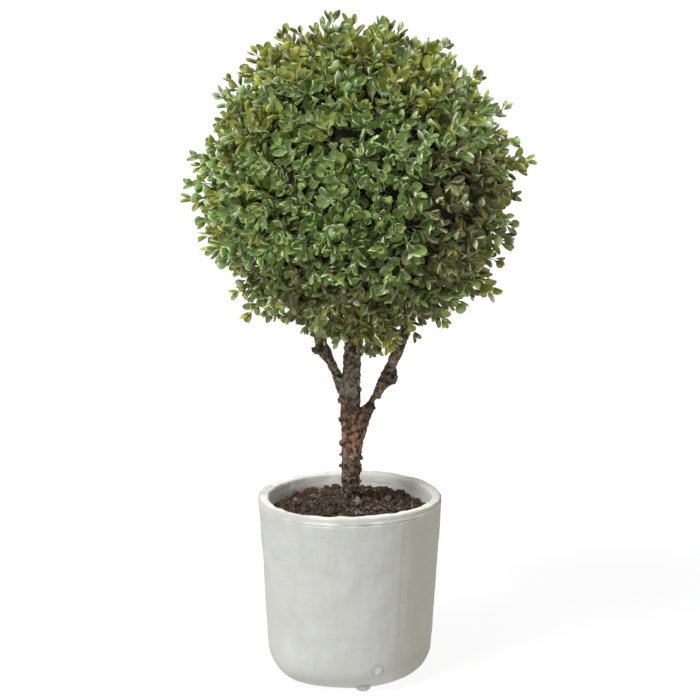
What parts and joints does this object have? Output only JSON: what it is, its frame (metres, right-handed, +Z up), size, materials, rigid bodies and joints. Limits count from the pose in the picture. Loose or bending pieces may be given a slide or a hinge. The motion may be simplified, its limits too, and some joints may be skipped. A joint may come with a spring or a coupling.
{
  "type": "artificial box topiary ball",
  "caption": "Clipped ball of small round leaves on a rough-barked stem with side boughs, in a pale round-footed pot filled with soil; stands on a table.",
  "frame": {"origin": "centre of the pot's flat underside", "axes": "+Z up along the stem, -Y towards the side seen first, +X to that side's right"},
  "size_m": [0.2252, 0.2096, 0.4507],
  "materials": {
    "cement": "matte",
    "soil": "matte",
    "bark": "matte",
    "leaf": "satin"
  },
  "bodies": {
    "root": {"pot": "cement", "soil": "soil", "trunk": "bark", "left_bough": "bark", "right_bough": "bark", "foliage_ball": "leaf"}
  },
  "joints": []
}
